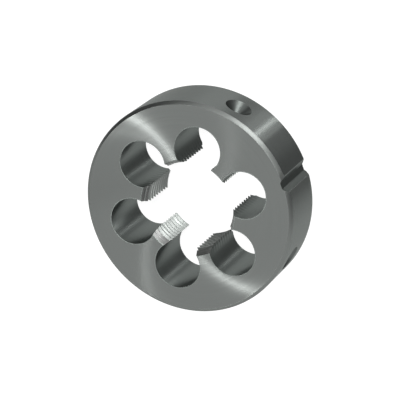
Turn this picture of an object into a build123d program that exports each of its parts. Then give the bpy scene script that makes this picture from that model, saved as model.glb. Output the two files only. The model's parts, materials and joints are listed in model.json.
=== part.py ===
"""Round threading die: one hardened steel disc that cuts an outside thread.

Frame: millimetres. The die lies flat on its back face at z = 0 and its centre is
on the z axis. The front face, where the rod enters, looks up along +Z. The
setting groove in the rim points along -Y.
"""

import os
from math import ceil, cos, radians, sin, sqrt, tan

from build123d import *

# ---------------------------------------------------------------- driving sizes

# Blank: the turned and ground disc.
outside_diameter = 55.0
thickness = 16.0
rim_chamfer = 0.8

# Thread that the die cuts: metric fine, right hand, 60 degrees.
thread_diameter = 24.0
thread_pitch = 1.5

# Lead: the teeth are ground away to a cone at each mouth, so that the rod starts.
# The clearance is how far the mouth of the cone stands outside the thread's roots.
lead_clearance = 0.4
front_lead_length = 2.7
back_lead_length = 1.7

# Chip holes: drilled right through on one circle, they break into the bore and
# leave the cutting lands standing between them.
chip_hole_count = 6
chip_hole_diameter = 12.0
chip_hole_circle_diameter = 31.2

# Setting groove: a V with a flat bottom, cut along the rim beside a chip hole.
groove_depth = 1.3
groove_floor_width = 1.6
groove_flank_angle = 45.0
groove_direction = -90.0

# Conical recesses in the rim, where the screws of the holder bite.
recess_diameter = 7.2
recess_cone_angle = 90.0
recess_height = 8.5
recess_offset_angle = 47.0

# ---------------------------------------------------------------- worked-out sizes

outside_radius = outside_diameter / 2
# A 60 degree thread is five eighths of its full triangle high. Its crests on the
# die stand at the minor diameter.
thread_height = 5 / 8 * thread_pitch * sqrt(3) / 2
crest_radius = thread_diameter / 2 - thread_height
root_radius = thread_diameter / 2
lead_mouth_radius = root_radius + lead_clearance
root_flat = thread_pitch / 8
flank_slope = tan(radians(30))
# One land stands in each step of the ring of chip holes.
land_step = 360 / chip_hole_count

# ---------------------------------------------------------------- cutting shapes

# How far a cutting shape runs past the outer faces.
overrun = 1.0
# How far a tooth gap reaches into the open bore, so that it cuts the crests.
cutter_overlap = thread_height / 8
# Share of a step that a tooth gap sweeps: past the land, into the holes beside it.
land_share = 0.9


def polar(radius, angle, height=0.0):
    """Point at a radius and an angle in degrees around the die's axis."""
    return Vector(radius * cos(radians(angle)), radius * sin(radians(angle)), height)


def turned(outline):
    """Solid turned from a half outline of (radius, height) points.

    Its seam lies in the direction of the setting groove and of the chip hole
    behind it, where the metal is cut away, so no finished face has a seam.
    """
    section = Plane.XZ * make_face(outline)
    return Rot(0, 0, groove_direction) * revolve(section, Axis.Z)


def make_blank():
    """The plain disc with both rim edges broken by a chamfer."""
    half_profile = Polyline(
        (0, 0),
        (outside_radius - rim_chamfer, 0),
        (outside_radius, rim_chamfer),
        (outside_radius, thickness - rim_chamfer),
        (outside_radius - rim_chamfer, thickness),
        (0, thickness),
        close=True,
    )
    return turned(half_profile)


def make_bore():
    """The bore at the crests of the teeth, with a lead cone at each mouth."""
    lead_depth = lead_mouth_radius - crest_radius
    front_slope = lead_depth / front_lead_length
    back_slope = lead_depth / back_lead_length
    half_profile = Polyline(
        (0, -overrun),
        (lead_mouth_radius + back_slope * overrun, -overrun),
        (crest_radius, back_lead_length),
        (crest_radius, thickness - front_lead_length),
        (lead_mouth_radius + front_slope * overrun, thickness + overrun),
        (0, thickness + overrun),
        close=True,
    )
    return turned(half_profile)


def make_tooth_gap():
    """The gap between two teeth of one land: a short piece of the helical groove.

    It is centred on the x axis at z = 0 and ends in the chip holes on both sides.
    """
    sweep_angle = land_share * land_step
    rise = thread_pitch * sweep_angle / 360
    inner_radius = crest_radius - cutter_overlap
    inner_half_width = root_flat / 2 + (root_radius - inner_radius) * flank_slope
    profile = Polyline(
        (inner_radius, -inner_half_width),
        (root_radius, -root_flat / 2),
        (root_radius, root_flat / 2),
        (inner_radius, inner_half_width),
        close=True,
    )
    section = Plane.XZ * make_face(profile)
    path = Helix(thread_pitch, rise, crest_radius)
    gap = sweep(section, path=path, is_frenet=True)
    return Rot(0, 0, -sweep_angle / 2) * Pos(0, 0, -rise / 2) * gap


def make_thread():
    """Every tooth gap of every land. The gaps of all lands lie on one helix."""
    gap = make_tooth_gap()
    turns = ceil(thickness / thread_pitch) + 1
    gaps = []
    for land in range(chip_hole_count):
        turn_share = (land + 0.5) / chip_hole_count
        angle = groove_direction + 360 * turn_share
        for turn in range(turns):
            height = thread_pitch * (turn - 0.5 + turn_share)
            gaps.append(Pos(0, 0, height) * Rot(0, 0, angle) * gap)
    return gaps


def make_chip_holes():
    """The ring of chip holes. One of them lies behind the setting groove."""
    drill = Cylinder(
        chip_hole_diameter / 2,
        thickness + 2 * overrun,
        align=(Align.CENTER, Align.CENTER, Align.MIN),
    )
    holes = []
    for index in range(chip_hole_count):
        angle = groove_direction + index * land_step
        place = polar(chip_hole_circle_diameter / 2, angle, -overrun)
        holes.append(Pos(place) * drill)
    return holes


def make_setting_groove():
    """The V with a flat bottom that runs along the rim from face to face."""
    floor_radius = outside_radius - groove_depth
    top_radius = outside_radius + overrun
    half_floor = groove_floor_width / 2
    half_top = half_floor + (top_radius - floor_radius) * tan(radians(groove_flank_angle))
    outline = Polyline(
        (floor_radius, -half_floor),
        (top_radius, -half_top),
        (top_radius, half_top),
        (floor_radius, half_floor),
        close=True,
    )
    bar = extrude(make_face(outline), thickness + 2 * overrun)
    return Rot(0, 0, groove_direction) * Pos(0, 0, -overrun) * bar


def make_recesses():
    """Four conical recesses, two beside the groove and two opposite them."""
    cone_slope = tan(radians(recess_cone_angle / 2))
    mouth_radius = recess_diameter / 2
    depth = mouth_radius / cone_slope
    profile = Polyline(
        (0, -depth),
        (mouth_radius + overrun * cone_slope, overrun),
        (0, overrun),
        close=True,
    )
    cone = revolve(Plane.XZ * make_face(profile), Axis.Z)
    angles = (
        recess_offset_angle,
        180 - recess_offset_angle,
        180 + recess_offset_angle,
        360 - recess_offset_angle,
    )
    recesses = []
    for angle in angles:
        direction = groove_direction + angle
        seat = Plane(
            origin=polar(outside_radius, direction, recess_height),
            z_dir=polar(1, direction),
        )
        recesses.append(seat * cone)
    return recesses


def make_die():
    """Cut the blank in turn: bore, chip holes, thread, and the seats in the rim."""
    die = make_blank() - make_bore()
    die = die - make_chip_holes()
    die = die - make_thread()
    die = die - make_setting_groove()
    die = die - make_recesses()
    return die


os.makedirs("parts", exist_ok=True)
threading_die = make_die()
export_step(threading_die, "parts/threading_die.step")
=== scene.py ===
# %% [markdown]
# # A round threading die
#
# The real object is one disc of hardened tool steel. It is turned and ground
# flat, drilled with a ring of chip holes that break into the bore, tapped, and
# given a setting groove and four screw recesses in its rim. This lesson dresses
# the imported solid: a finer mesh of the same form, ground and cut finishes made
# with nodes, a pale floor, soft lamps, cards for the steel to mirror and a camera.
#
# The frame is loaded first. It says how big everything is, so that nothing here
# has to be fitted afterwards. The box of the solid is kept, to measure against.

# %% Load the frame
import json
from math import acos, atan2, cos, degrees, pi, radians, sin, sqrt, tan

import bmesh
import bpy
import numpy as np
from mathutils import Matrix, Vector


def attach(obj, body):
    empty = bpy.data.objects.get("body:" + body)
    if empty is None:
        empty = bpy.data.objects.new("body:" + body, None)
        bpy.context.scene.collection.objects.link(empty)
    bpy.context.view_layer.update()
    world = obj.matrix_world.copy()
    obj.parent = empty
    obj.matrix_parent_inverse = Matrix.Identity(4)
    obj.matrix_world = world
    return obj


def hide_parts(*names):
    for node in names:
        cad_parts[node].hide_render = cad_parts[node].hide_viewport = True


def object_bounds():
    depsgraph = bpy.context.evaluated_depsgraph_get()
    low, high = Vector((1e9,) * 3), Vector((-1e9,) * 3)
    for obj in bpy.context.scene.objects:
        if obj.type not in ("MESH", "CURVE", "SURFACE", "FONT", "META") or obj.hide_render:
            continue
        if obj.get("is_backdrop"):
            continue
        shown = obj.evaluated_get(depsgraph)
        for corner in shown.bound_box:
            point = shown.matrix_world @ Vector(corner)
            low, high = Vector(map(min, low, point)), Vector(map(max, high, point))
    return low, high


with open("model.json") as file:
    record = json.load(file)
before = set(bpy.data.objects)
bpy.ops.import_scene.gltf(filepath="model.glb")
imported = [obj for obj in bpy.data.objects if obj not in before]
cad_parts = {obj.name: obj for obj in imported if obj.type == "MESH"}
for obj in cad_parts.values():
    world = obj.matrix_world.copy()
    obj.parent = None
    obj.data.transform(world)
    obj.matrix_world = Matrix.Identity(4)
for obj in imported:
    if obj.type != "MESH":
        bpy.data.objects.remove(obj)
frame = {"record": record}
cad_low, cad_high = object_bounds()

print("solid from", tuple(cad_low), "to", tuple(cad_high))

# %% [markdown]
# The sizes come from three places. The frame gives the outside of the disc and
# its seat, the thread, 24 x 1.5, gives the root and the pitch, and the rest are
# the shop sizes of the cuts. A standard thread is five eighths of a triangle
# deep, and that triangle has sides of one pitch. Angles are in degrees, counted
# from +X towards +Y. Blender works in metres, so each size is written in
# millimetres and multiplied by `MM`. Reading them off the mesh would also work,
# but a named size tells what it is and can be changed in one place.

# %% Sizes of the die
MM = 0.001
seat = next(m for m in frame["record"]["mounts"] if m["name"] == "holder_seat")
OUTSIDE_RADIUS = seat["dims"]["r_mm"] * MM
THICKNESS = cad_high.z
RIM_CHAMFER = (THICKNESS - seat["dims"]["length_mm"] * MM) / 2

PITCH = 1.5 * MM
ROOT_RADIUS = 12.0 * MM
THREAD_DEPTH = 5 / 8 * PITCH * sqrt(3) / 2
CREST_RADIUS = ROOT_RADIUS - THREAD_DEPTH
MOUTH_RADIUS = 12.4 * MM
FRONT_LEAD = 2.7 * MM
BACK_LEAD = 1.7 * MM

LANDS = 6
HOLE_RADIUS = 6.0 * MM
HOLE_CIRCLE = 15.6 * MM

GROOVE_ANGLE = -90.0
GROOVE_DEPTH = 1.3 * MM
GROOVE_HALF_FLOOR = 0.8 * MM

RECESS_ANGLES = [GROOVE_ANGLE + turn for turn in (47, 133, 227, 313)]
RECESS_RADIUS = 3.6 * MM
RECESS_HEIGHT = 8.5 * MM

EDGE_BREAK = 0.12 * MM
MOUTH_BREAK = 0.07 * MM
print("disc radius", OUTSIDE_RADIUS, "thickness", THICKNESS, "chamfer", RIM_CHAMFER)

# %% [markdown]
# ## One skin for the whole die
#
# The chip holes open into the bore, so the metal is a single closed ring, and
# its surface is a ring too. A grid can be wrapped right round it: columns go
# round the axis, and rows go up the bore, out on to the front face, down the
# rim and back under the die. Boolean cuts would give the same form with ragged
# triangles. A wrapped grid keeps clean rows, so every edge can be rounded.
#
# Each sixth of the die has one land and one chip hole. This cell numbers its
# columns: `across` runs from -1 to 1 over a land, and `wall_turn` is the angle
# at the hole's own centre of the columns on its wall. The bore takes away a part
# of that wall, and what is left reaches `WALL_TURN` to both sides.

# %% Columns of the grid
LAND_CELLS = 8
HOLE_CELLS = 32
SECTOR_CELLS = LAND_CELLS + HOLE_CELLS
COLUMNS = LANDS * SECTOR_CELLS
COLUMN_STEP = 360 / COLUMNS
SECTOR = 360 / LANDS
WALL_TURN = 126.0

place = np.arange(COLUMNS) % SECTOR_CELLS
land_angle = np.arange(COLUMNS) // SECTOR_CELLS * SECTOR
on_land = place <= LAND_CELLS
across = np.clip(place * 2 / LAND_CELLS - 1, -1, 1)
wall_turn = WALL_TURN * ((place - LAND_CELLS - 1) * 2 / (HOLE_CELLS - 2) - 1)
rim_angle = land_angle + (place - LAND_CELLS / 2) * COLUMN_STEP
print(COLUMNS, "columns,", LAND_CELLS, "cells over each land")

# %% [markdown]
# A row of the bore follows one outline, like a clover: arcs of the bore on the
# lands, and arcs of the chip holes between them. The law of cosines says where
# the two circles meet. The same function gives the outline on the faces, where
# both radii are a little larger because the edges are broken.

# %% Outline of bore and chip holes
def meeting_angle(radius, hole_radius):
    """Angle from a hole's middle to where its wall crosses a circle of the bore."""
    cosine = (radius**2 + HOLE_CIRCLE**2 - hole_radius**2) / (2 * radius * HOLE_CIRCLE)
    return acos(cosine)


def clover(radius, hole_radius, heights):
    """One row of the grid that follows the bore and the chip holes."""
    land_half = radians(SECTOR / 2) - meeting_angle(radius, hole_radius)
    land = np.radians(land_angle) + across * land_half
    hole = np.radians(land_angle + SECTOR / 2)
    turn = hole + np.radians(wall_turn)
    x = np.where(on_land, radius * np.cos(land), HOLE_CIRCLE * np.cos(hole) + hole_radius * np.cos(turn))
    y = np.where(on_land, radius * np.sin(land), HOLE_CIRCLE * np.sin(hole) + hole_radius * np.sin(turn))
    return np.stack([x, y, np.broadcast_to(heights, x.shape)], axis=1)


crest_half = SECTOR / 2 - degrees(meeting_angle(CREST_RADIUS, HOLE_RADIUS))
print("a land is", round(2 * crest_half, 1), "degrees wide")

# %% [markdown]
# The thread will be cut by moving the vertices of the lands. For crisp crests
# and roots, the rows on a land have to lie along the thread, so they are spaced
# by a sixteenth of the pitch, shifted to the thread's height at that land and
# tilted by its lead. On the walls of the holes they ease from one land's shift
# to the next. At both mouths they stop where the edge break begins, and a row
# that would come closer to it than `CLOSEST` is laid on it.

# %% Rows up the bore
ROWS_PER_PITCH = 16
ROW_STEP = PITCH / ROWS_PER_PITCH
CLOSEST = ROW_STEP / 3
ROWS = int(np.ceil(THICKNESS / ROW_STEP)) + 1


def thread_height(angle):
    """Height of a thread root at an angle in degrees."""
    return PITCH * ((angle - GROOVE_ANGLE) / 360 - 0.5)


on_row = ROW_STEP * np.round(thread_height(land_angle) / ROW_STEP)
row_shift = thread_height(land_angle + across * crest_half) - on_row
for start in range(LAND_CELLS, COLUMNS, SECTOR_CELLS):
    end = (start + HOLE_CELLS) % COLUMNS
    ease = np.linspace(row_shift[start], row_shift[end], HOLE_CELLS + 1)
    row_shift[start + 1:start + HOLE_CELLS] = ease[1:-1]

low, high = MOUTH_BREAK, THICKNESS - MOUTH_BREAK
bore_rows = []
for step in range(ROWS):
    heights = step * ROW_STEP + row_shift
    heights = np.where((heights < low + CLOSEST) | (step == 0), low, heights)
    heights = np.where((heights > high - CLOSEST) | (step == ROWS - 1), high, heights)
    bore_rows.append(clover(CREST_RADIUS, HOLE_RADIUS, heights))
print(ROWS, "rows up the bore")

# %% [markdown]
# The rim is turned from a profile with small rounds at its corners. Real edges
# are never knife sharp. A Bevel modifier could round them, but the rows are laid
# one by one here anyway, so each corner just gets a few rows of its own.

# %% Round the corners of a profile
def rounded(points, radius, steps=2):
    """A polyline of (r, z) points with each inner corner rounded."""
    result = [points[0]]
    for before, corner, after in zip(points, points[1:], points[2:]):
        before, corner, after = (np.array(p) for p in (before, corner, after))
        a = (before - corner) / np.linalg.norm(before - corner)
        b = (after - corner) / np.linalg.norm(after - corner)
        half = acos(np.clip(a @ b, -1, 1)) / 2
        centre = corner + (a + b) / np.linalg.norm(a + b) * radius / sin(half)
        start = corner + a * radius / tan(half) - centre
        end = corner + b * radius / tan(half) - centre
        for step in range(steps + 1):
            mix = start + (end - start) * step / steps
            result.append(tuple(centre + mix / np.linalg.norm(mix) * radius))
    result.append(points[-1])
    return result


print("corners can be rounded")

# %% [markdown]
# The profile runs from the front face over both chamfers to the back face. It
# starts and ends `SUPPORT` inside the edge, on the flat faces. Half way up the
# rim the rows lie closer, `RECESS_ROW` apart, for the recesses to come.

# %% Profile of the rim
FACE_EDGE = OUTSIDE_RADIUS - RIM_CHAMFER
SUPPORT = 0.35 * MM
RECESS_ROW = 0.72 * MM
RECESS_ROWS = 8

corners = [
    (FACE_EDGE - SUPPORT, THICKNESS),
    (FACE_EDGE, THICKNESS),
    (OUTSIDE_RADIUS, THICKNESS - RIM_CHAMFER),
    (OUTSIDE_RADIUS, RIM_CHAMFER),
    (FACE_EDGE, 0),
    (FACE_EDGE - SUPPORT, 0),
]
soft = rounded(corners, EDGE_BREAK)
upper = [point for point in soft if point[1] > RECESS_HEIGHT]
lower = [point for point in soft if point[1] < RECESS_HEIGHT]
middle = [
    (OUTSIDE_RADIUS, RECESS_HEIGHT + RECESS_ROW * step)
    for step in range(RECESS_ROWS, -RECESS_ROWS - 1, -1)
]
rim_profile = upper + middle + lower
print(len(rim_profile), "rows over the rim")

# %% [markdown]
# The setting groove is a V with a flat floor, milled from face to face for the
# screw that sets the die. Nine columns of the rim are moved on to its outline,
# two of them at each corner, so that the corners are broken too. Where the rim
# gets smaller, on the chamfers, the groove gets shallower by itself, because its
# mouth is worked out from the circle of that row. Its flank ends `LIP_SHARE` of
# an edge break short of that circle, and its lip one edge break beyond. A boolean
# cut would need its own clean-up at each of those places.

# %% Rim rows with the setting groove
FLOOR_RADIUS = OUTSIDE_RADIUS - GROOVE_DEPTH
LIP_SHARE = 0.7
groove_column = int(round((GROOVE_ANGLE % 360 - rim_angle[0]) / COLUMN_STEP))


def groove_outline(radius):
    """(outwards, sideways) of five columns from the groove's middle to the rim.

    The flank leans 45 degrees, so it goes sideways as far as it rises.
    """
    floor = FLOOR_RADIUS - max(0, FACE_EDGE - radius)
    b = floor + GROOVE_HALF_FLOOR
    c = floor**2 + GROOVE_HALF_FLOOR**2 - radius**2
    rise = (sqrt(b * b - 2 * c) - b) / 2
    side = GROOVE_HALF_FLOOR + rise + EDGE_BREAK
    return [
        (floor, 0.0),
        (floor, GROOVE_HALF_FLOOR - EDGE_BREAK),
        (floor + EDGE_BREAK, GROOVE_HALF_FLOOR + EDGE_BREAK),
        (floor + rise - EDGE_BREAK * LIP_SHARE, GROOVE_HALF_FLOOR + rise - EDGE_BREAK * LIP_SHARE),
        (sqrt(radius**2 - side**2), side),
    ]


def rim_row(radius, height):
    """One row of the rim, with the groove cut into it."""
    turn = np.radians(rim_angle)
    row = np.stack([radius * np.cos(turn), radius * np.sin(turn), np.full(COLUMNS, height)], axis=1)
    out = np.array([cos(radians(GROOVE_ANGLE)), sin(radians(GROOVE_ANGLE))])
    side = np.array([-out[1], out[0]])
    for step, (outwards, sideways) in enumerate(groove_outline(radius)):
        for sign in (-1, 1):
            row[(groove_column + sign * step) % COLUMNS, :2] = out * outwards + side * sideways * sign
    return row


rim_rows = [rim_row(radius, height) for radius, height in rim_profile]
print("groove at column", groove_column, "of", COLUMNS)

# %% [markdown]
# Each screw recess is a cone of 90 degrees sunk into the rim. A square block of
# the grid is bent on to it: the squares around the block's middle become circles
# of the cone, and those outside them spread back to the straight rows and
# columns. So the round mouth has vertices of its own and stays a clean edge,
# which a boolean cut through long thin faces wouldn't give.

# %% Sink the screw recesses
CONE_CELLS = 5
TIP_RADIUS = OUTSIDE_RADIUS - RECESS_RADIUS
RIM_CELL = OUTSIDE_RADIUS * radians(COLUMN_STEP)


def mouth_radius(turn):
    """How far the cone's mouth is from its axis, where the rim curves away."""
    bend = 1 + cos(turn) ** 2
    root = sqrt(TIP_RADIUS**2 - bend * (TIP_RADIUS**2 - OUTSIDE_RADIUS**2))
    return (root - TIP_RADIUS) / bend


def recess_point(up, along, lag):
    """(outwards, sideways, up) of the grid point so many cells from the middle."""
    ring = max(abs(up), abs(along))
    turn = atan2(up, along)
    mouth = mouth_radius(turn)
    if ring <= CONE_CELLS:
        reach = mouth * ring / CONE_CELLS
        return TIP_RADIUS + reach, reach * cos(turn), reach * sin(turn)
    ease = (ring - CONE_CELLS) / (RECESS_ROWS - CONE_CELLS)
    scale = RECESS_ROWS / ring
    near = np.array([atan2(mouth * cos(turn), TIP_RADIUS + mouth) * OUTSIDE_RADIUS, mouth * sin(turn)])
    far = np.array([along * scale * RIM_CELL + lag, up * scale * RECESS_ROW])
    spot = near + (far - near) * ease
    angle = spot[0] / OUTSIDE_RADIUS
    return OUTSIDE_RADIUS * cos(angle), OUTSIDE_RADIUS * sin(angle), spot[1]


for angle in RECESS_ANGLES:
    cells = (angle % 360 - rim_angle[0]) / COLUMN_STEP
    nearest = round(cells)
    lag = (nearest - cells) * RIM_CELL
    cosine, sine = cos(radians(angle)), sin(radians(angle))
    for up in range(1 - RECESS_ROWS, RECESS_ROWS):
        row = rim_rows[len(upper) + RECESS_ROWS - up]
        for along in range(1 - RECESS_ROWS, RECESS_ROWS):
            out, side, rise = recess_point(up, along, lag)
            x, y = out * cosine - side * sine, out * sine + side * cosine
            row[(nearest + along) % COLUMNS] = x, y, RECESS_HEIGHT + rise
print(len(RECESS_ANGLES), "recesses sunk")

# %% [markdown]
# Between the bore and the faces lie the broken edges of the mouths: the outline
# grows by `MOUTH_BREAK` while it rises by as much. `MOUTH_STEPS` gives how far
# each row has grown and how far it still lies below the face, in shares of that
# break. The first is the middle of a round, and the last is on the flat face.

# %% Broken edges of the mouths
MOUTH_STEPS = ((0.29, 0.29), (1, 0), (3, 0))


def mouth_rows(face, towards_inside):
    """Rows from the bore to the flat face, at the height of that face."""
    rows = []
    for grow, sink in MOUTH_STEPS:
        grow, sink = grow * MOUTH_BREAK, sink * MOUTH_BREAK
        rows.append(clover(MOUTH_RADIUS + grow, HOLE_RADIUS + grow, face + towards_inside * sink))
    return rows


front_mouth = mouth_rows(THICKNESS, -1)
back_mouth = mouth_rows(0, 1)
print(len(front_mouth), "rows at each mouth")

# %% [markdown]
# Now the rows are laid in order. The two flat faces between mouth and rim need
# no grid, because a flat face shades the same however it is divided, so each
# will be filled between its two rings, after `front_fill` and `back_fill`. Each
# vertex of a land keeps its `across`, which the thread will need.

# %% Lay the rows in order
rows = bore_rows + front_mouth + rim_rows + back_mouth[::-1]
front_fill = len(bore_rows) + len(front_mouth) - 1
back_fill = front_fill + len(rim_rows)

skin = bmesh.new()
across_layer = skin.verts.layers.float.new("across")
land_layer = skin.verts.layers.float.new("land")
grid = [[skin.verts.new(point) for point in row] for row in rows]
for row in grid[:len(bore_rows)]:
    for vertex, is_land, share in zip(row, on_land, across):
        vertex[across_layer] = share
        vertex[land_layer] = float(is_land)
print(len(skin.verts), "vertices in", len(rows), "rows")

# %% [markdown]
# Each face of the mesh is given a number for its finish. The lands are tapped,
# the walls of the holes and the broken edges of the mouths are drilled, and what
# lies deeper than the rim's own rows by more than `CUT_SAG` was milled into it:
# the groove and the recesses. Painting the faces by hand would give the same,
# but a rule can be run again after a size has changed.

# %% Join the rows and choose the finishes
GROUND_FACE, GROUND_RIM, DRILLED, CHAMFER, MILLED, TAPPED = range(6)
CUT_SAG = 0.05 * MM


def finish_of(row, col, middle):
    """The finish of the grid cell above a row and after a column."""
    if row < len(bore_rows) - 1:
        return TAPPED if on_land[col] and on_land[(col + 1) % COLUMNS] else DRILLED
    if row < front_fill or row > back_fill:
        return DRILLED
    step = row - front_fill
    (radius, height), (next_radius, next_height) = rim_profile[step - 1:step + 1]
    if height == next_height:
        return GROUND_FACE
    if middle.xy.length < (radius + next_radius) / 2 - CUT_SAG:
        return MILLED
    return GROUND_RIM if radius == next_radius else CHAMFER


for i in range(len(grid)):
    if i in (front_fill, back_fill):
        continue
    above = grid[(i + 1) % len(grid)]
    for j in range(COLUMNS):
        k = (j + 1) % COLUMNS
        cell = skin.faces.new((grid[i][j], above[j], above[k], grid[i][k]))
        cell.material_index = finish_of(i, j, cell.calc_center_median())
print(len(skin.faces), "cells before the flat faces")

# %% [markdown]
# The fill works on the two rings of edges. Its triangles may come out facing
# either way, so each is turned to look up on the front and down on the back.

# %% Fill the flat faces
SAME_PLACE = 1e-7


def edges_of(ring):
    """The edges that join a closed row of vertices."""
    return [skin.edges.get((a, b)) for a, b in zip(ring, ring[1:] + ring[:1])]


for fill, up in ((front_fill, 1), (back_fill, -1)):
    edges = edges_of(grid[fill]) + edges_of(grid[(fill + 1) % len(grid)])
    made = bmesh.ops.triangle_fill(skin, edges=edges, use_beauty=True)
    for face in (item for item in made["geom"] if isinstance(item, bmesh.types.BMFace)):
        face.normal_update()
        face.material_index = GROUND_FACE
        if face.normal.z * up < 0:
            face.normal_flip()

bmesh.ops.remove_doubles(skin, verts=skin.verts, dist=SAME_PLACE)
open_edges = sum(not edge.is_manifold for edge in skin.edges)
print(len(skin.verts), "vertices,", len(skin.faces), "faces,", open_edges, "open edges")

# %% [markdown]
# In a workshop the piece that waits for its thread is called a blank. It becomes
# an object here, so that a modifier can work on it.

# %% Make the blank
blank_mesh = bpy.data.meshes.new("die_blank")
skin.to_mesh(blank_mesh)
skin.free()
blank = bpy.data.objects.new("die_blank", blank_mesh)
bpy.context.scene.collection.objects.link(blank)
print("blank has", len(blank_mesh.polygons), "faces")

# %% [markdown]
# ## Nodes that read like sums
#
# Geometry and materials are both built from nodes. Two small helpers keep the
# trees short: `node` makes a node and fills or links its first inputs, and
# `calc` does the same for one step of arithmetic.

# %% Helpers for node trees
def node(tree, kind, *inputs, **settings):
    """A new node with its settings made and its first inputs set or linked."""
    made = tree.nodes.new(kind)
    for name, value in settings.items():
        setattr(made, name, value)
    for socket, value in zip(made.inputs, inputs):
        if isinstance(value, bpy.types.NodeSocket):
            tree.links.new(value, socket)
        elif value is not None:
            socket.default_value = value
    return made


def calc(tree, operation, *inputs):
    """The result of one Math node."""
    return node(tree, "ShaderNodeMath", *inputs, operation=operation).outputs[0]


print("helpers ready")

# %% [markdown]
# ## Cutting the thread
#
# A thread follows one rule. The distance of a point from the nearest root,
# measured in pitches along the axis, gives its radius: the root flat is an
# eighth of the pitch wide, the flanks lean 30 degrees, and the crest flat is a
# quarter. Geometry Nodes apply that rule to each vertex of a land. The lead
# cones at both mouths cut the crests away, so the largest of the three radii is
# the one that is left. With the new radius, the edge of the land moves along
# the wall of the chip hole, and that gives the saw-toothed cutting edges.

# %% Sizes of the thread
ROOT_FLAT_END = 1 / 16
CREST_FLAT_START = 6 / 16
THREAD_SIZES = {
    "Pitch": PITCH,
    "Root Radius": ROOT_RADIUS,
    "Crest Radius": CREST_RADIUS,
    "Mouth Radius": MOUTH_RADIUS,
    "Front Lead": FRONT_LEAD,
    "Back Lead": BACK_LEAD,
    "Thickness": THICKNESS,
    "Lands": float(LANDS),
    "Hole Radius": HOLE_RADIUS,
    "Hole Circle": HOLE_CIRCLE,
    "Start Angle": radians(GROOVE_ANGLE + 180),
}
print("thread depth", round(THREAD_DEPTH / MM, 3), "mm")

# %% [markdown]
# A tree starts with its sockets. Each size is a named input, so the tree can be
# used again for another thread, and the two steels come in the same way.

# %% Sockets of the thread cutter
def open_cutter():
    """A tree with its sockets, and the values that they give."""
    tree = bpy.data.node_groups.new("cut_thread", "GeometryNodeTree")
    socket = tree.interface.new_socket
    socket("Geometry", in_out="INPUT", socket_type="NodeSocketGeometry")
    for name, value in THREAD_SIZES.items():
        socket(name, in_out="INPUT", socket_type="NodeSocketFloat").default_value = value
    socket("Thread Finish", in_out="INPUT", socket_type="NodeSocketMaterial")
    socket("Lead Finish", in_out="INPUT", socket_type="NodeSocketMaterial")
    socket("Geometry", in_out="OUTPUT", socket_type="NodeSocketGeometry")
    return tree, tree.nodes.new("NodeGroupInput").outputs


print(len(THREAD_SIZES), "sizes go in")

# %% [markdown]
# `climb` counts pitches up the axis and takes off the turns round it, so it is
# the same all along the helix. Ping-pong folds it to the distance from the
# nearest root, from 0 to a half, and Map Range makes flats and flanks of that.
# The lead cones are straight lines from the mouths.

# %% Radius of the thread and of the lead cones
def flank_radius(tree, given, turn, z):
    """Radius of the full thread at a turn and a height."""
    start = calc(tree, "SUBTRACT", turn, given["Start Angle"])
    turns = calc(tree, "DIVIDE", start, 2 * pi)
    climb = calc(tree, "SUBTRACT", calc(tree, "DIVIDE", z, given["Pitch"]), turns)
    from_root = calc(tree, "PINGPONG", climb, 0.5)
    root, crest = given["Root Radius"], given["Crest Radius"]
    flank = node(tree, "ShaderNodeMapRange", from_root, ROOT_FLAT_END, CREST_FLAT_START, root, crest)
    return flank.outputs["Result"]


def cone_radius(tree, given, z):
    """Radius of the nearer lead cone at a height."""
    cut = calc(tree, "SUBTRACT", given["Mouth Radius"], given["Crest Radius"])
    from_front = calc(tree, "SUBTRACT", given["Thickness"], z)
    front = calc(tree, "MULTIPLY", cut, calc(tree, "DIVIDE", from_front, given["Front Lead"]))
    back = calc(tree, "MULTIPLY", cut, calc(tree, "DIVIDE", z, given["Back Lead"]))
    return calc(tree, "SUBTRACT", given["Mouth Radius"], calc(tree, "MINIMUM", front, back))


print("flanks leave the root", ROOT_FLAT_END, "of a pitch from its middle")

# %% [markdown]
# At its new radius a land is wider or narrower. The law of cosines gives its
# half width again, this time as nodes, and the vertex goes to its own share of
# it, `across`, in its own sector.

# %% New place of a vertex of a land
def half_land(tree, given, sector, radius):
    """Half the angle of a land at a radius."""
    circle, hole = given["Hole Circle"], given["Hole Radius"]
    square = calc(tree, "MULTIPLY", radius, radius)
    known = calc(tree, "SUBTRACT", calc(tree, "POWER", circle, 2.0), calc(tree, "POWER", hole, 2.0))
    twice = calc(tree, "MULTIPLY", calc(tree, "MULTIPLY", radius, circle), 2.0)
    cosine = calc(tree, "DIVIDE", calc(tree, "ADD", square, known), twice)
    return calc(tree, "SUBTRACT", calc(tree, "DIVIDE", sector, 2.0), calc(tree, "ARCCOSINE", cosine))


def cut_place(tree, given, turn, radius, z):
    """Position of a vertex once its land is cut to a radius."""
    sector = calc(tree, "DIVIDE", 2 * pi, given["Lands"])
    land = calc(tree, "MULTIPLY", calc(tree, "ROUND", calc(tree, "DIVIDE", turn, sector)), sector)
    share = node(tree, "GeometryNodeInputNamedAttribute", "across", data_type="FLOAT").outputs[0]
    half = half_land(tree, given, sector, radius)
    angle = calc(tree, "ADD", land, calc(tree, "MULTIPLY", share, half))
    x = calc(tree, "MULTIPLY", radius, calc(tree, "COSINE", angle))
    y = calc(tree, "MULTIPLY", radius, calc(tree, "SINE", angle))
    return node(tree, "ShaderNodeCombineXYZ", x, y, z).outputs[0]


print("lands can be cut")

# %% [markdown]
# The tree moves the vertices of the lands only, and then gives the cut faces
# their steels: the thread's, and the lead cones' where the cone is the larger of
# the two radii. `land` and the finish are whole numbers, so each test stands
# `HALF_WAY` between two of them. Moving each vertex in Python would also cut the
# thread, but a tree keeps its rule where it can be seen and tried.

# %% The thread cutter as Geometry Nodes
HALF_WAY = 0.5


def greater(tree, first, second):
    """Whether one value is greater than another."""
    kind = {"data_type": "FLOAT", "operation": "GREATER_THAN"}
    return node(tree, "FunctionNodeCompare", first, second, **kind).outputs[0]


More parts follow.
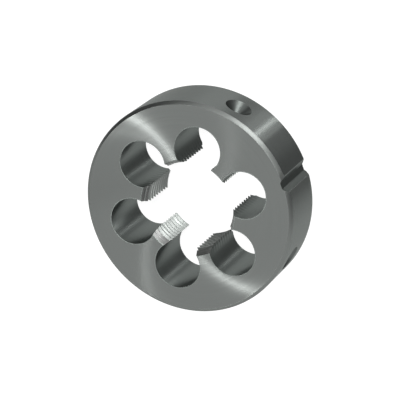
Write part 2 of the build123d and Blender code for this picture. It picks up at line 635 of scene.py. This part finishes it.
def thread_cutter():
    """A node tree that cuts the thread into the lands of the blank."""
    tree, given = open_cutter()
    position = tree.nodes.new("GeometryNodeInputPosition").outputs[0]
    x, y, z = node(tree, "ShaderNodeSeparateXYZ", position).outputs
    turn = calc(tree, "ARCTAN2", y, x)
    flank = flank_radius(tree, given, turn, z)
    cone = cone_radius(tree, given, z)
    moved = cut_place(tree, given, turn, calc(tree, "MAXIMUM", flank, cone), z)

    land = node(tree, "GeometryNodeInputNamedAttribute", "land", data_type="FLOAT").outputs[0]
    cut = node(tree, "GeometryNodeSetPosition", given["Geometry"], greater(tree, land, HALF_WAY), moved)
    real = node(tree, "GeometryNodeRealizeInstances", cut.outputs[0]).outputs[0]
    finish = tree.nodes.new("GeometryNodeInputMaterialIndex").outputs[0]
    tapped = greater(tree, finish, TAPPED - HALF_WAY)
    threaded = node(tree, "GeometryNodeSetMaterial", real, tapped, given["Thread Finish"])
    on_cone = greater(tree, cone, flank)
    # These are the lead cone faces, whose lighter steel is painted light.
    lead_cone_faces = node(tree, "FunctionNodeBooleanMath", tapped, on_cone, operation="AND").outputs[0]
    finished = node(tree, "GeometryNodeSetMaterial", threaded.outputs[0], lead_cone_faces, given["Lead Finish"])
    node(tree, "NodeGroupOutput", finished.outputs[0])
    return tree


print("thread cutter ready")

# %% [markdown]
# ## Finishes
#
# Bare steel has no colour of its own to speak of. What tells a ground face from
# a drilled wall is its lay, the direction of the fine marks that the tool left.
# Light spreads across the lay and hardly along it, which is why a ground disc
# shows bright spokes. Spokes could be painted on, but they wouldn't move with
# the eye. The Principled shader does this with its anisotropy, and its tangent
# is the direction across the lay. Each finish below works out that direction
# from the Object coordinates.

# %% Steel shader shared by the finishes
STEEL = (0.184, 0.195, 0.188, 1.0)
EDGE_TINT = (0.55, 0.56, 0.55, 1.0)


def steel(name, colour, roughness, anisotropy):
    """A bare steel, returned with its tree, its shader and its coordinates."""
    material = bpy.data.materials.new(name)
    material.use_nodes = True
    tree = material.node_tree
    shader = tree.nodes["Principled BSDF"]
    shader.inputs["Base Color"].default_value = colour
    shader.inputs["Metallic"].default_value = 1.0
    shader.inputs["Specular Tint"].default_value = EDGE_TINT
    shader.inputs["Roughness"].default_value = roughness
    shader.inputs["Anisotropic"].default_value = anisotropy
    coordinates = tree.nodes.new("ShaderNodeTexCoord").outputs["Object"]
    return material, tree, shader, coordinates


print("steel is", STEEL[:3])

# %% [markdown]
# A finish needs to know where it is on the die: how far from the axis, how far
# round it and how high. The tangent has to be given in the world's own space.

# %% Places and directions for the finishes
def set_lay(tree, shader, across_lay):
    """Turns the shader's tangent to a direction of the object's own space."""
    spaces = {"vector_type": "VECTOR", "convert_from": "OBJECT", "convert_to": "WORLD"}
    turned = node(tree, "ShaderNodeVectorTransform", across_lay, **spaces)
    tree.links.new(turned.outputs[0], shader.inputs["Tangent"])


def polar(tree, coordinates):
    """Radius and turn round the die's axis, and height."""
    x, y, z = node(tree, "ShaderNodeSeparateXYZ", coordinates).outputs
    squares = calc(tree, "ADD", calc(tree, "MULTIPLY", x, x), calc(tree, "MULTIPLY", y, y))
    return calc(tree, "SQRT", squares), calc(tree, "ARCTAN2", y, x), z


print("finishes know their place")

# %% [markdown]
# The marks themselves are noise that is drawn out along the turn and fine across
# it. They vary the steel a little in colour, roughness and relief. An image of
# scratches would do this too, but noise has no seam and no edge. The noise
# rarely leaves the middle of its range, so that part, `MARKS_LOW` to
# `MARKS_HIGH`, is spread over the whole change of roughness. The Mix node has
# several sockets of one name, so its colour sockets are taken by number.

# %% Marks of the tools
COLOUR_A, COLOUR_B, COLOUR_OUT = 6, 7, 2
MARKS_LOW, MARKS_HIGH = 0.3, 0.7


def grain(tree, along, across_lay, stretch, scale, detail=3.0):
    """Fine marks that run round the axis: noise drawn out along the turn."""
    vector = node(
        tree, "ShaderNodeCombineXYZ",
        calc(tree, "MULTIPLY", calc(tree, "COSINE", along), stretch),
        calc(tree, "MULTIPLY", calc(tree, "SINE", along), stretch),
        calc(tree, "MULTIPLY", across_lay, scale),
    )
    noise = node(tree, "ShaderNodeTexNoise", vector.outputs[0])
    noise.inputs["Scale"].default_value = 1.0
    noise.inputs["Detail"].default_value = detail
    return noise.outputs[0]


def vary(tree, shader, marks, colour, contrast, roughness, spread, relief):
    """Lets the marks vary colour, roughness and relief of a shader."""
    dark = [c * (1 - contrast) for c in colour[:3]] + [1.0]
    light = [min(1.0, c * (1 + contrast)) for c in colour[:3]] + [1.0]
    tint = node(tree, "ShaderNodeMix", data_type="RGBA")
    tree.links.new(marks, tint.inputs["Factor"])
    tint.inputs[COLOUR_A].default_value = dark
    tint.inputs[COLOUR_B].default_value = light
    tree.links.new(tint.outputs[COLOUR_OUT], shader.inputs["Base Color"])
    least, most = roughness - spread, roughness + spread
    rough = node(tree, "ShaderNodeMapRange", marks, MARKS_LOW, MARKS_HIGH, least, most)
    tree.links.new(rough.outputs[0], shader.inputs["Roughness"])
    bump = node(tree, "ShaderNodeBump")
    bump.inputs["Strength"].default_value = 1.0
    bump.inputs["Distance"].default_value = relief
    tree.links.new(marks, bump.inputs["Height"])
    tree.links.new(bump.outputs[0], shader.inputs["Normal"])


print("marks ready")

# %% [markdown]
# The two flat faces are ground on a turning table, so their marks are nearly
# circles. They drift slightly outwards, and more so near the rim, and that
# bends the bright spokes. `LAY_DRIFT` is that slant in degrees, with its sign,
# for each millimetre beyond `LAY_START`. A table never runs quite true, so the
# drift is stronger on one side, at the angle `LAY_HEAVY`, by the share
# `LAY_SWING`. Rings of real grooves would need far too many faces.

# %% Ground face
LAY_START = 17.2 * MM
LAY_DRIFT = -2.0 / MM
LAY_HEAVY = 130.0
LAY_SWING = 0.3
GROUND_ROUGHNESS = 0.15


def ground_face(stretch, scale, contrast, spread, relief):
    """A steel face whose marks are circles that drift outwards."""
    material, tree, shader, coordinates = steel("ground_face", STEEL, GROUND_ROUGHNESS, 1.0)
    radius, turn, _ = polar(tree, coordinates)
    swing = calc(tree, "COSINE", calc(tree, "SUBTRACT", turn, radians(LAY_HEAVY)))
    drift = calc(tree, "MULTIPLY_ADD", swing, radians(LAY_DRIFT) * LAY_SWING, radians(LAY_DRIFT))
    slant = calc(tree, "MULTIPLY", calc(tree, "SUBTRACT", radius, LAY_START), drift)
    lay = calc(tree, "ADD", turn, slant)
    x, y = calc(tree, "COSINE", lay), calc(tree, "SINE", lay)
    set_lay(tree, shader, node(tree, "ShaderNodeCombineXYZ", x, y, 0.0).outputs[0])
    marks = grain(tree, turn, radius, stretch, scale)
    vary(tree, shader, marks, STEEL, contrast, GROUND_ROUGHNESS, spread, relief)
    return material


finishes = [ground_face(stretch=1.5, scale=6 / MM, contrast=0.06, spread=0.012, relief=0.001 * MM)]
print("first finish", finishes[0].name)

# %% [markdown]
# The rim is ground round its axis, the bore and the holes are cut round theirs.
# On all of them the marks run level, so the direction across the lay is the
# axis of the die. The shader drops the part of it that leans out of the
# surface, so one direction also serves the chamfers and the lead cones. The
# groove is milled along the axis and the recesses are bored, but both are so
# matt that their lay hardly shows, and they share this finish too.

# %% Steel with level marks
def level_cut(name, colour, roughness, anisotropy, contrast, spread, relief, scale, stretch=1.5):
    """A steel whose marks run level round the die."""
    material, tree, shader, coordinates = steel(name, colour, roughness, anisotropy)
    _, turn, up = polar(tree, coordinates)
    set_lay(tree, shader, node(tree, "ShaderNodeCombineXYZ", 0.0, 0.0, 1.0).outputs[0])
    marks = grain(tree, turn, up, stretch, scale)
    vary(tree, shader, marks, colour, contrast, roughness, spread, relief)
    return material


print("level finishes can be made")

# %% [markdown]
# The steels differ a little. A fine wheel leaves the rim smooth, and a drill
# leaves its walls rough. The groove and the recesses aren't ground after the
# hardening, and the lead cones are lapped after the thread is cut. The rim and
# the lead cones are given a lighter steel, which is painted light, and the walls,
# the groove and the recesses a darker one, which is painted shade. One steel for
# all would be simpler, but then the cuts would run into each other. The list is
# in the order of the numbers that the faces have.

# %% The other finishes
# The first and the last of these steels are lighter than STEEL, which is painted light. The two between
# are darker, which is painted shade.
RIM_STEEL_PAINTED_LIGHT = (0.208, 0.223, 0.215, 1.0)
DRILLED_STEEL_PAINTED_SHADE = (0.17, 0.186, 0.178, 1.0)
MILLED_STEEL_PAINTED_SHADE = (0.11, 0.12, 0.115, 1.0)
LAPPED_STEEL_PAINTED_LIGHT = (0.25, 0.255, 0.25, 1.0)

finishes.append(level_cut(
    "ground_rim_painted_light", RIM_STEEL_PAINTED_LIGHT, roughness=0.26, anisotropy=1.0,
    contrast=0.05, spread=0.012, relief=0.0004 * MM, scale=6 / MM,
))
finishes.append(level_cut(
    "drilled_wall_painted_shade", DRILLED_STEEL_PAINTED_SHADE, roughness=0.36, anisotropy=0.45,
    contrast=0.15, spread=0.04, relief=0.001 * MM, scale=2 / MM, stretch=4.0,
))
finishes.append(level_cut(
    "chamfer", STEEL, roughness=0.38, anisotropy=0.3,
    contrast=0.1, spread=0.04, relief=0.0005 * MM, scale=6 / MM,
))
finishes.append(level_cut(
    "milled_cut_painted_shade", MILLED_STEEL_PAINTED_SHADE, roughness=0.38, anisotropy=0.3,
    contrast=0.15, spread=0.04, relief=0.001 * MM, scale=3 / MM,
))
finishes.append(level_cut(
    "tapped_thread", STEEL, roughness=0.36, anisotropy=0.3,
    contrast=0.1, spread=0.05, relief=0.0005 * MM, scale=3 / MM,
))
# The lead cones' lighter steel is painted light.
lapped_lead_painted_light = level_cut(
    "lapped_lead_painted_light", LAPPED_STEEL_PAINTED_LIGHT, roughness=0.32, anisotropy=0.8,
    contrast=0.1, spread=0.04, relief=0.0005 * MM, scale=3 / MM,
)
print([material.name for material in finishes], lapped_lead_painted_light.name)

# %% [markdown]
# Now the blank is tapped. The tree is put on it as a modifier, and its inputs
# are set by each socket's identifier before Blender works it out for the first
# time. The result is read back as a plain mesh, and the modifier goes.

# %% Cut the thread and keep a plain mesh
tree = thread_cutter()
cutter = blank.modifiers.new("cut_thread", "NODES")
cutter.node_group = tree
sockets = [item for item in tree.interface.items_tree if item.in_out == "INPUT"]
inputs = {item.name: item.identifier for item in sockets}
for name, value in THREAD_SIZES.items():
    cutter[inputs[name]] = value
cutter[inputs["Thread Finish"]] = finishes[TAPPED]
cutter[inputs["Lead Finish"]] = lapped_lead_painted_light
for material in finishes:
    blank_mesh.materials.append(material)

depsgraph = bpy.context.evaluated_depsgraph_get()
die_mesh = bpy.data.meshes.new_from_object(blank.evaluated_get(depsgraph), depsgraph=depsgraph)
blank.modifiers.remove(cutter)
bpy.data.objects.remove(blank)
die = bpy.data.objects.new("die_skin", die_mesh)
bpy.context.scene.collection.objects.link(die)
print("die has", len(die_mesh.polygons), "faces and", len(die_mesh.materials), "materials")

# %% [markdown]
# Round surfaces are shaded smooth, and an edge stays sharp where its faces meet
# at more than `SHARP_ANGLE`. The two ground faces are truly flat, but their
# outermost rows would still be shaded as if they bent towards the broken edges,
# and a ground face shows that as a row of glints. So the edges where a flat face
# ends are kept sharp as well.

# %% Smooth shading with sharp edges
SHARP_ANGLE = radians(25)
FLAT_NORMAL = 0.9999
die_mesh.shade_smooth()
die_mesh.set_sharp_from_angle(angle=SHARP_ANGLE)
shading = bmesh.new()
shading.from_mesh(die_mesh)
for edge in shading.edges:
    flat = [abs(face.normal.z) > FLAT_NORMAL for face in edge.link_faces]
    if any(flat) and not all(flat):
        edge.smooth = False
print(sum(not edge.smooth for edge in shading.edges), "sharp edges")
shading.to_mesh(die_mesh)
shading.free()

# %% [markdown]
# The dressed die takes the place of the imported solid. It rides on the same body
# and has the slot of its steel.

# %% Put the die in the solid's place
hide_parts("threading_die")
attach(die, "root")
print("die stands for the packed solid")

# %% [markdown]
# ## The studio
#
# The floor is a large pale sheet. It is white to the camera, with a trace of the
# die's own shadow left in it. The world is white to the camera and in
# reflections. Both could be lit until they are white, but that light would fall
# on the die too. So a Light Path node makes them white only to the rays that look
# at them, and the lamps stay in charge. The steel looks past the floor, at the
# world and at the cards that come below.

# %% White to those who look
def sight(tree):
    """1 for rays that look at the backdrop, straight or in a reflection."""
    path = tree.nodes.new("ShaderNodeLightPath").outputs
    looks = calc(tree, "MAXIMUM", path["Is Camera Ray"], path["Is Glossy Ray"])
    return calc(tree, "MAXIMUM", looks, path["Is Transmission Ray"])


print("backdrop can tell who looks")

# %% [markdown]
# `FLOOR_GLOW` and the light on the floor add up to white. The floor lies a hair
# under the die, so that no two surfaces share one place.

# %% Floor
FLOOR_REACH = 3.0
FLOOR_GAP = 0.02 * MM
FLOOR_GREY = (0.3, 0.3, 0.3, 1)
FLOOR_GLOW = 0.92
WHITE = (1, 1, 1, 1)
SQUARE = [(-1, -1), (1, -1), (1, 1), (-1, 1)]

floor_mesh = bpy.data.meshes.new("floor")
floor_mesh.from_pydata([(x * FLOOR_REACH, y * FLOOR_REACH, 0) for x, y in SQUARE], [], [(0, 1, 2, 3)])
floor = bpy.data.objects.new("floor", floor_mesh)
floor.location.z = -FLOOR_GAP
floor.visible_glossy = False
bpy.context.scene.collection.objects.link(floor)
floor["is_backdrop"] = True

pale = bpy.data.materials.new("pale_floor")
pale.use_nodes = True
shader = pale.node_tree.nodes["Principled BSDF"]
shader.inputs["Base Color"].default_value = FLOOR_GREY
shader.inputs["Roughness"].default_value = 1.0
shader.inputs["Specular IOR Level"].default_value = 0.0
shader.inputs["Emission Color"].default_value = WHITE
glow = calc(pale.node_tree, "MULTIPLY", sight(pale.node_tree), FLOOR_GLOW)
pale.node_tree.links.new(glow, shader.inputs["Emission Strength"])
floor_mesh.materials.append(pale)
print("floor reaches", FLOOR_REACH, "m each way")

# %% [markdown]
# The world is the walls and the ceiling of the studio. It is white to look at,
# and its light on the die is `WORLD_FILL` of that.

# %% World
WORLD_FILL = 0.3
world = bpy.data.worlds.new("studio")
world.use_nodes = True
bpy.context.scene.world = world
background = world.node_tree.nodes["Background"]
background.inputs["Color"].default_value = WHITE
seen = calc(world.node_tree, "MULTIPLY", sight(world.node_tree), 1 - WORLD_FILL)
strength = calc(world.node_tree, "ADD", seen, WORLD_FILL)
world.node_tree.links.new(strength, background.inputs["Strength"])
print("world fills with", WORLD_FILL)

# %% [markdown]
# A spoke lies where the marks of the ground face run square to the direction
# half way between a lamp and the eye. With one lamp, one end of the spoke comes
# out much weaker than the other, because lamp and eye are near, and that
# direction changes over the die. Two lamps, one on each side of the mirrored
# view, even it out. So the strong spoke has `side_lamp` and `far_lamp`, which
# are very small, and the weak one has `key_lamp` and `back_lamp`. The broad
# `low_lamp` lights the walls and flanks that face it.

# %% Lamps
DIE_MIDDLE = Vector((0, 0, THICKNESS / 2))


def direction(azimuth, elevation):
    """Unit vector from the die, azimuth counted from +X towards +Y."""
    a, e = radians(azimuth), radians(elevation)
    return Vector((cos(a) * cos(e), sin(a) * cos(e), sin(e)))


def soft_lamp(name, azimuth, elevation, distance, width, height, watts):
    """A soft box that looks at the die."""
    data = bpy.data.lights.new(name, "AREA")
    data.shape = "RECTANGLE"
    data.size = width
    data.size_y = height
    data.energy = watts
    lamp = bpy.data.objects.new(name, data)
    lamp.location = DIE_MIDDLE + direction(azimuth, elevation) * distance
    lamp.rotation_euler = direction(azimuth, elevation).to_track_quat("Z", "Y").to_euler()
    bpy.context.scene.collection.objects.link(lamp)


LAMPS = {
    "key_lamp": dict(azimuth=-52, elevation=62, distance=0.7, width=0.12, height=0.12, watts=1.3),
    "back_lamp": dict(azimuth=115.5, elevation=38, distance=0.8, width=0.03, height=0.03, watts=0.22),
    "low_lamp": dict(azimuth=-60, elevation=24, distance=0.5, width=0.35, height=0.15, watts=1.3),
    "side_lamp": dict(azimuth=72, elevation=61, distance=0.8, width=0.008, height=0.008, watts=0.85),
    "far_lamp": dict(azimuth=141.5, elevation=48, distance=1.5, width=0.014, height=0.014, watts=2.3),
}
for name, settings in LAMPS.items():
    soft_lamp(name, **settings)
print(len(LAMPS), "lamps ready")

# %% [markdown]
# Polished metal only looks like metal when it has light and dark things to
# mirror. A studio hangs cards round the piece for that. These are seen only in
# reflections: they throw no shadow and light nothing. A card's `shade` is how
# bright it looks, from 0 for black over 1 for white to more, for a lit one.

# %% A sheet of card
BLACK = (0, 0, 0, 1)


def sheet(name, shade, points, faces):
    """A sheet of card that is seen only in reflections."""
    grey = bpy.data.materials.new(name)
    grey.use_nodes = True
    look = grey.node_tree.nodes["Principled BSDF"].inputs
    look["Base Color"].default_value = BLACK
    look["Specular IOR Level"].default_value = 0.0
    look["Emission Color"].default_value = WHITE
    look["Emission Strength"].default_value = shade
    mesh = bpy.data.meshes.new(name)
    mesh.from_pydata(points, [], faces)
    mesh.materials.append(grey)
    made = bpy.data.objects.new(name, mesh)
    made.visible_camera = made.visible_shadow = made.visible_diffuse = False
    bpy.context.scene.collection.objects.link(made)
    made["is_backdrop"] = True


print("cards can be cut")

# %% [markdown]
# Eight bent cards stand round the die, each between two azimuths and two
# elevations. The rim and the walls of the chip holes mirror those in front.
# These are grey, apart from one thin bright strip that draws the bright line on
# the rim. The two at the side are dark, and so is the chamfer that mirrors them.

# %% Bent cards round the die
def card(name, shade, azimuths, elevations, distance=0.25, steps=12):
    """A bent card round the die."""
    points, faces = [], []
    for row in range(steps + 1):
        elevation = elevations[0] + (elevations[1] - elevations[0]) * row / steps
        for step in range(steps + 1):
            azimuth = azimuths[0] + (azimuths[1] - azimuths[0]) * step / steps
            points.append(tuple(DIE_MIDDLE + direction(azimuth, elevation) * distance))
            if row and step:
                here = len(points) - 1
                faces.append((here, here - 1, here - steps - 2, here - steps - 1))
    sheet(name, shade, points, faces)


CARDS = {
    "front_card": dict(shade=0.25, azimuths=(-120, -64), elevations=(-85, 40)),
    "front_card_left": dict(shade=0.6, azimuths=(-134, -120), elevations=(-85, 40)),
    "line_card": dict(shade=5.0, azimuths=(-56, -54), elevations=(-85, -20)),
    "gap_card_left": dict(shade=0.7, azimuths=(-63, -56), elevations=(-85, -20)),
    "gap_card_right": dict(shade=0.7, azimuths=(-54, -46), elevations=(-85, -20)),
    "front_card_right": dict(shade=0.5, azimuths=(-44, -22), elevations=(-85, 0)),
    "side_card_low": dict(shade=0.05, azimuths=(-5, 65), elevations=(-15, 18)),
    "side_card_high": dict(shade=0.2, azimuths=(10, 95), elevations=(18, 50)),
}
for name, settings in CARDS.items():
    card(name, **settings)
print(len(CARDS), "bent cards ready")

# %% [markdown]
# Two small flat cards serve one land only, the one that faces the eye. Its
# crests mirror what lies straight under the bore, and its lead cone mirrors a
# strip of the bore's far side. A lit card in each of those places makes that
# land gleam, and hardly any other part of the die sees them. A lamp there would
# light the walls around it as well. Their corners are in millimetres.

# %% Small cards for the bright land
UNDER_BORE = [(-6.0, 2.0, -0.5), (0.0, 2.0, -0.5), (0.0, 10.5, -0.5), (-6.0, 10.5, -0.5)]
IN_BORE = [(1.0, -8.0, 7.0), (4.4, -6.5, 7.0), (4.4, -6.5, 13.0), (1.0, -8.0, 13.0)]
SMALL_CARDS = {"white_card": (4.0, UNDER_BORE), "bore_card": (6.0, IN_BORE)}
for name, (shade, places) in SMALL_CARDS.items():
    sheet(name, shade, [Vector(place) * MM for place in places], [(0, 1, 2, 3)])
print(len(SMALL_CARDS), "small cards ready")

# %% [markdown]
# The camera stands off at half a metre with a long lens, which keeps the disc
# from swelling towards the eye. It looks down at 61 degrees and is rolled, so
# that the setting groove comes to the right. A constraint could aim it, but its
# roll is easier to give as two directions: where it looks, and its right hand.

# %% Camera
LENS, SENSOR = 176.377, 36
CAMERA_PLACE = Vector((94.930, -221.032, 436.514)) * MM
NEAREST, FARTHEST = 0.01, 20

camera_data = bpy.data.cameras.new("camera")
camera_data.lens = LENS
camera_data.sensor_width = SENSOR
camera_data.clip_start, camera_data.clip_end = NEAREST, FARTHEST
camera = bpy.data.objects.new("camera", camera_data)
forward = Vector((-0.194006, 0.449636, -0.871888)).normalized()
right = Vector((-0.319800, -0.869210, -0.377096)).normalized()
up = right.cross(forward)
turn = Matrix((right, up, -forward)).transposed().to_4x4()
camera.matrix_world = Matrix.Translation(CAMERA_PLACE) @ turn
bpy.context.scene.collection.objects.link(camera)
bpy.context.scene.camera = camera
bpy.context.scene.view_settings.view_transform = "Standard"
print("camera", round(camera.location.length / MM), "mm away")

# %% [markdown]
# The last step measures the visual model, prints its box and keeps both boxes.

# %% Measure and finish
low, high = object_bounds()
print("visual model from", tuple(low), "to", tuple(high))
